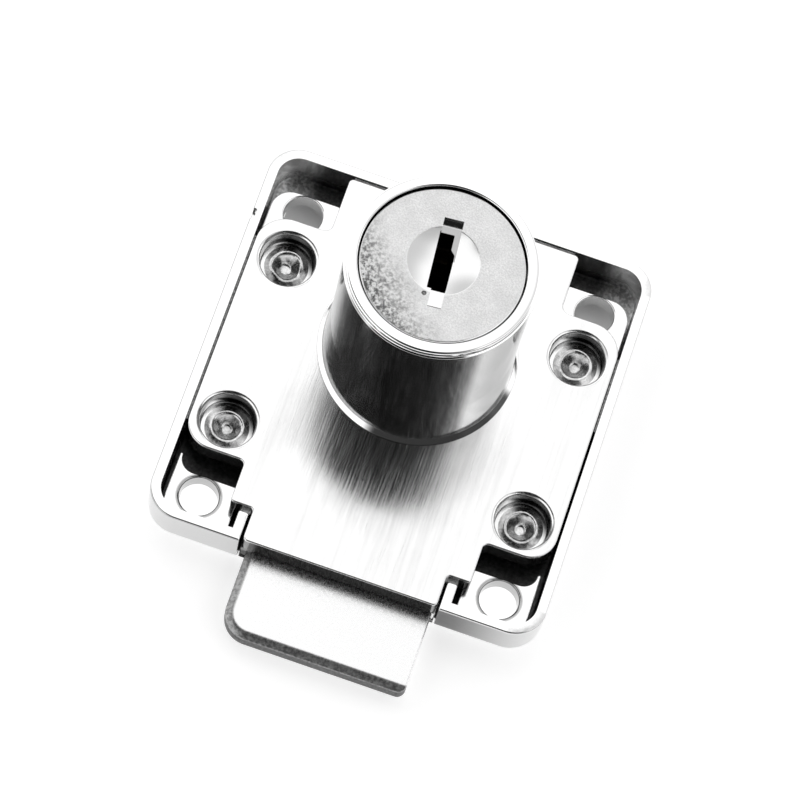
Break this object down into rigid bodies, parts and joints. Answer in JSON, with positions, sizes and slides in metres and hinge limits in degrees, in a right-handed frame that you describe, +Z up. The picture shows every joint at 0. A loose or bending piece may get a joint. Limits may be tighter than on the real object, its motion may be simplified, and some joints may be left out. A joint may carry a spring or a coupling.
{
  "type": "drawer lock",
  "caption": "Plate-mounted drawer lock: shallow square case and cover plate, long round barrel with a wafer plug, and a flat dead bolt driven by the plug's eccentric pin.",
  "frame": {"origin": "on the barrel's axis, at the flat back face of the case", "axes": "+Z runs up the barrel to the key face; the bolt leaves the case along -Y; +X completes the right-handed frame"},
  "size_m": [0.0416, 0.0514, 0.0281],
  "materials": {
    "case_chrome": "plated zinc casting, polished",
    "plate_brushed": "brushed along Y and plated",
    "barrel_chrome": "turned and polished",
    "plug_satin": "grained face with a smooth dish",
    "bolt_satin": "satin",
    "rivet_zinc": "formed heads, plated",
    "wafer_brass": "stamped",
    "spring_steel": "drawn wire"
  },
  "bodies": {
    "housing": {"case": "case_chrome", "cover_plate": "plate_brushed", "barrel": "barrel_chrome", "rivet_upper_left": "rivet_zinc", "rivet_upper_right": "rivet_zinc", "rivet_lower_left": "rivet_zinc", "rivet_lower_right": "rivet_zinc"},
    "plug": {"plug": "plug_satin", "plug_retainer": "wafer_brass", "retainer_spring": "spring_steel", "wafer_spring_1": "spring_steel", "wafer_spring_2": "spring_steel", "wafer_spring_3": "spring_steel", "wafer_spring_4": "spring_steel", "wafer_spring_5": "spring_steel", "wafer_spring_6": "spring_steel", "wafer_spring_7": "spring_steel"},
    "bolt": {"bolt": "bolt_satin"},
    "wafer_1": {"wafer_1": "wafer_brass"},
    "wafer_2": {"wafer_2": "wafer_brass"},
    "wafer_3": {"wafer_3": "wafer_brass"},
    "wafer_4": {"wafer_4": "wafer_brass"},
    "wafer_5": {"wafer_5": "wafer_brass"},
    "wafer_6": {"wafer_6": "wafer_brass"},
    "wafer_7": {"wafer_7": "wafer_brass"}
  },
  "joints": [
    {"name": "bolt_slide", "type": "slide", "parent": "housing", "child": "bolt", "axis": [0, 1, 0], "range_m": [0, 0.0084]},
    {"name": "plug_turn", "type": "hinge", "parent": "housing", "child": "plug", "pos_m": [0, 0, 0], "axis": [0, 0, 1], "range_deg": [0, 180]},
    {"name": "wafer_slide_1", "type": "slide", "parent": "plug", "child": "wafer_1", "axis": [-0.0906, 0.9959, 0], "range_m": [0, 0.0009], "stiffness_N_per_m": 60, "springref_m": 0.0025, "deforming": ["wafer_spring_1"]},
    {"name": "wafer_slide_2", "type": "slide", "parent": "plug", "child": "wafer_2", "axis": [-0.0906, 0.9959, 0], "range_m": [0, 0.0009], "stiffness_N_per_m": 60, "springref_m": 0.0025, "deforming": ["wafer_spring_2"]},
    {"name": "wafer_slide_3", "type": "slide", "parent": "plug", "child": "wafer_3", "axis": [-0.0906, 0.9959, 0], "range_m": [0, 0.0009], "stiffness_N_per_m": 60, "springref_m": 0.0025, "deforming": ["wafer_spring_3"]},
    {"name": "wafer_slide_4", "type": "slide", "parent": "plug", "child": "wafer_4", "axis": [-0.0906, 0.9959, 0], "range_m": [0, 0.0009], "stiffness_N_per_m": 60, "springref_m": 0.0025, "deforming": ["wafer_spring_4"]},
    {"name": "wafer_slide_5", "type": "slide", "parent": "plug", "child": "wafer_5", "axis": [-0.0906, 0.9959, 0], "range_m": [0, 0.0009], "stiffness_N_per_m": 60, "springref_m": 0.0025, "deforming": ["wafer_spring_5"]},
    {"name": "wafer_slide_6", "type": "slide", "parent": "plug", "child": "wafer_6", "axis": [-0.0906, 0.9959, 0], "range_m": [0, 0.0009], "stiffness_N_per_m": 60, "springref_m": 0.0025, "deforming": ["wafer_spring_6"]},
    {"name": "wafer_slide_7", "type": "slide", "parent": "plug", "child": "wafer_7", "axis": [-0.0906, 0.9959, 0], "range_m": [0, 0.0009], "stiffness_N_per_m": 60, "springref_m": 0.0025, "deforming": ["wafer_spring_7"]}
  ],
  "couplings": [
    {"joint": "plug_turn", "follows": "bolt_slide", "rad_per_m": 373.99}
  ]
}
